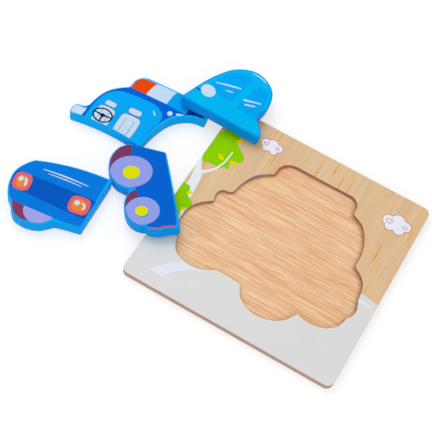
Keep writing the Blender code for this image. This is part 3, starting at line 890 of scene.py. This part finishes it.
def leafTree():
    tree, given, ends = newGroup("scatterLeaves", "GeometryNodeTree", [
        ("Geometry", "NodeSocketGeometry", None), ("Length", "NodeSocketFloat", 0.003),
        ("Width", "NodeSocketFloat", 0.001), ("Thickness", "NodeSocketFloat", 0.00004),
        ("Material", "NodeSocketMaterial", None)], [("Geometry", "NodeSocketGeometry")])
    disc = addNode(tree, "GeometryNodeMeshCircle", {"Vertices": leaves["corners"], "Radius": 1.0},
                   fill_type="NGON")
    spot = addNode(tree, "GeometryNodeInputPosition").outputs[0]
    spot = addNode(tree, "ShaderNodeSeparateXYZ", {0: spot}).outputs
    # Width falls off to both tips, so that the disc becomes a leaf, and the leaf is bent
    taper = arith(tree, "MULTIPLY", arith(tree, "ABSOLUTE", spot[0]), leaves["taper"])
    taper = arith(tree, "SUBTRACT", 1.0, taper)
    x = arith(tree, "MULTIPLY", spot[0], given["Length"])
    y = arith(tree, "MULTIPLY", arith(tree, "MULTIPLY", spot[1], taper), given["Width"])
    bend = arith(tree, "MULTIPLY", arith(tree, "MULTIPLY", spot[0], spot[0]),
                 arith(tree, "MULTIPLY", given["Width"], leaves["bend"]))
    moved = addNode(tree, "ShaderNodeCombineXYZ", {0: x, 1: arith(tree, "ADD", y, bend)}).outputs[0]
    flat = addNode(tree, "GeometryNodeSetPosition", {"Geometry": disc.outputs["Mesh"], "Position": moved})
    thick = addNode(tree, "GeometryNodeExtrudeMesh", {
        "Mesh": flat.outputs[0], "Offset Scale": given["Thickness"], "Individual": False}, mode="FACES")
    turn, size = (addNode(tree, "GeometryNodeInputNamedAttribute", {"Name": name}, data_type="FLOAT")
                  for name in ("turn", "size"))
    spin = addNode(tree, "ShaderNodeCombineXYZ", {2: turn.outputs[0]}).outputs[0]
    grow = addNode(tree, "ShaderNodeCombineXYZ", {0: size.outputs[0], 1: size.outputs[0], 2: 1.0}).outputs[0]
    copies = addNode(tree, "GeometryNodeInstanceOnPoints", {
        "Points": given["Geometry"], "Instance": thick.outputs["Mesh"], "Rotation": spin, "Scale": grow})
    real = addNode(tree, "GeometryNodeRealizeInstances", {"Geometry": copies.outputs[0]})
    done = addNode(tree, "GeometryNodeSetMaterial", {
        "Geometry": real.outputs[0], "Material": given["Material"]})
    return finish(tree, ends, {"Geometry": done.outputs[0]})


def makeLeaves(level):
    mesh = bpy.data.meshes.new("leafSpots")
    height = level + (printing["thickness"] + leaves["lift"]) * mm
    mesh.from_pydata([(x * mm, y * mm, height) for x, y, _, _ in leaves["spots"]], [], [])
    turns = mesh.attributes.new("turn", "FLOAT", "POINT")
    turns.data.foreach_set("value", [math.radians(spot[2]) for spot in leaves["spots"]])
    grades = mesh.attributes.new("size", "FLOAT", "POINT")
    grades.data.foreach_set("value", [spot[3] for spot in leaves["spots"]])
    holder = addObject("leafSpots", mesh)
    tree = leafTree()
    modifier = holder.modifiers.new("leaves", "NODES")
    modifier.node_group = tree
    sockets = {item.name: item.identifier for item in tree.interface.items_tree if item.in_out == "INPUT"}
    modifier[sockets["Length"]] = leaves["long"] * mm
    modifier[sockets["Width"]] = leaves["wide"] * mm
    modifier[sockets["Thickness"]] = leaves["thick"] * mm
    ink = coatMaterial("yellowLeaf", leaves["colour"], tray["grainTurn"], coats["ink"])
    modifier[sockets["Material"]] = ink
    ready = holder.evaluated_get(bpy.context.evaluated_depsgraph_get())
    made = bpy.data.meshes.new_from_object(ready)
    holder.modifiers.remove(modifier)
    bpy.data.objects.remove(holder)
    made = addObject("leaves", made)
    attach(made, "tray")
    print("leaves set")


makeLeaves(dressTray())
dressPiece("hood", hood, drawHood)
dressPiece("windscreen", windscreen, drawWindscreen)
dressPiece("side", side, drawSide)
dressPiece("dome", dome, drawDome)


# Floor, light and camera
studio = {
    "floor": 3.0, "floorDrop": 0.00005, "floorBounce": (0.8, 0.8, 0.8, 1.0), "floorRoughness": 0.9,
    "floorGlow": 0.62, "floorLift": 1.12, "floorFade": (0.16, 0.4),  # the shadow's paper fades to white
    "white": (1.0, 1.0, 1.0, 1.0), "worldLight": 0.58,
    # Name, place, diameter and power of each lamp; all look at the tray's middle
    "lamps": [("keyLight", (-0.55, 0.35, 0.95), 0.7, 4.2), ("fillLight", (0.35, -0.9, 0.7), 1.0, 2.9)],
    "camera": (0.09261, -0.40663, 0.70421), "cameraTurn": (30.470, -6.419, 29.674),
    "lens": 104.56, "sensor": 36.0,
}


def seenRay(tree):
    # 1 for rays that see: from the camera, mirrored or through glass
    paths = addNode(tree, "ShaderNodeLightPath").outputs
    seen = arith(tree, "MAXIMUM", paths["Is Camera Ray"], paths["Is Glossy Ray"])
    return arith(tree, "MAXIMUM", seen, paths["Is Transmission Ray"])


def makeFloor():
    half = studio["floor"] / 2
    mesh = bpy.data.meshes.new("floor")
    corners = [(-half, -half), (half, -half), (half, half), (-half, half)]
    mesh.from_pydata([(x, y, -studio["floorDrop"]) for x, y in corners], [], [(0, 1, 2, 3)])
    floor = addObject("floor", mesh)
    material = bpy.data.materials.new("floorPaper")
    material.use_nodes = True
    tree = material.node_tree
    shader = tree.nodes["Principled BSDF"]
    seen = seenRay(tree)
    spot = addNode(tree, "ShaderNodeTexCoord").outputs["Object"]
    away = addNode(tree, "ShaderNodeVectorMath", {0: spot}, operation="LENGTH").outputs["Value"]
    glow = spread(tree, away, *studio["floorFade"], studio["floorGlow"], 1.0)
    own = arith(tree, "MULTIPLY", arith(tree, "SUBTRACT", 1.0, glow), studio["floorLift"])
    tree.links.new(blendColours(tree, seen, studio["floorBounce"], own), shader.inputs["Base Color"])
    shader.inputs["Emission Color"].default_value = studio["white"]
    tree.links.new(arith(tree, "MULTIPLY", seen, glow), shader.inputs["Emission Strength"])
    shader.inputs["Roughness"].default_value = studio["floorRoughness"]
    shader.inputs["Specular IOR Level"].default_value = 0.0
    mesh.materials.append(material)


def lightScene():
    world = bpy.data.worlds.new("studio")
    world.use_nodes = True
    tree = world.node_tree
    light = studio["worldLight"]
    strength = arith(tree, "MULTIPLY_ADD", seenRay(tree), 1.0 - light, light)
    tree.nodes["Background"].inputs["Color"].default_value = studio["white"]
    tree.links.new(strength, tree.nodes["Background"].inputs["Strength"])
    bpy.context.scene.world = world
    for name, spot, size, power in studio["lamps"]:
        lamp = bpy.data.lights.new(name, "AREA")
        lamp.shape = "DISK"
        lamp.size = size
        lamp.energy = power
        holder = addObject(name, lamp)
        holder.location = spot
        holder.rotation_euler = (-Vector(spot)).to_track_quat("-Z", "Y").to_euler()


def setCamera():
    camera = bpy.data.cameras.new("camera")
    camera.lens = studio["lens"]
    camera.sensor_width = studio["sensor"]
    holder = addObject("camera", camera)
    holder.location = studio["camera"]
    holder.rotation_euler = [math.radians(angle) for angle in studio["cameraTurn"]]
    bpy.context.scene.camera = holder


makeFloor()
lightScene()
setCamera()
bpy.context.scene.view_settings.view_transform = "Standard"
print("stage ready")
